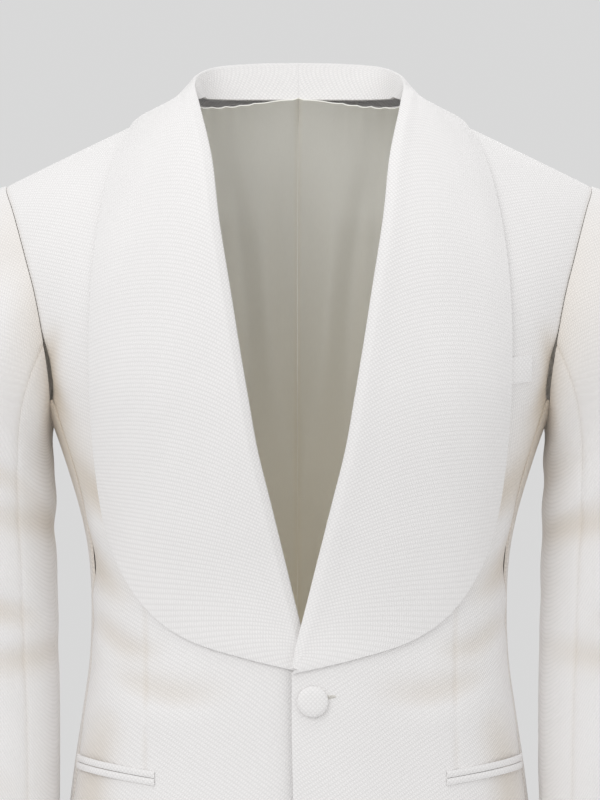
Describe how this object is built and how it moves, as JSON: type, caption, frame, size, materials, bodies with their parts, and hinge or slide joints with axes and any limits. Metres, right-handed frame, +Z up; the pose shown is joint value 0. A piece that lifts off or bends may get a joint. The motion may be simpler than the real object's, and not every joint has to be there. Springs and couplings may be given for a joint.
{
  "type": "shawl-collar tuxedo jacket",
  "caption": "Ivory-white one-button tuxedo jacket with a wide shawl collar, double-jetted hip pockets and satin lining, filled out and hollow as worn.",
  "frame": {"origin": "midway between the two points where the shoulder seams meet the neck", "axes": "+Z up, the jacket faces -Y, the wearer's left is +X"},
  "size_m": [0.6276, 0.2774, 0.7561],
  "materials": {
    "ivory_birdseye": "fine birdseye weave with a slight sheen",
    "lining_satin": "cream satin",
    "covered_button": "cloth-covered"
  },
  "bodies": {
    "root": {"front_left": "ivory_birdseye", "side_left": "ivory_birdseye", "back_left": "ivory_birdseye", "lining_left": "lining_satin", "shawl_left": "ivory_birdseye", "under_sleeve_left": "ivory_birdseye", "top_sleeve_left": "ivory_birdseye", "jet_upper_left": "ivory_birdseye", "jet_lower_left": "ivory_birdseye", "front_right": "ivory_birdseye", "side_right": "ivory_birdseye", "back_right": "ivory_birdseye", "lining_right": "lining_satin", "shawl_right": "ivory_birdseye", "under_sleeve_right": "ivory_birdseye", "top_sleeve_right": "ivory_birdseye", "jet_upper_right": "ivory_birdseye", "jet_lower_right": "ivory_birdseye", "welt_breast": "ivory_birdseye", "button_front": "covered_button"}
  },
  "joints": []
}
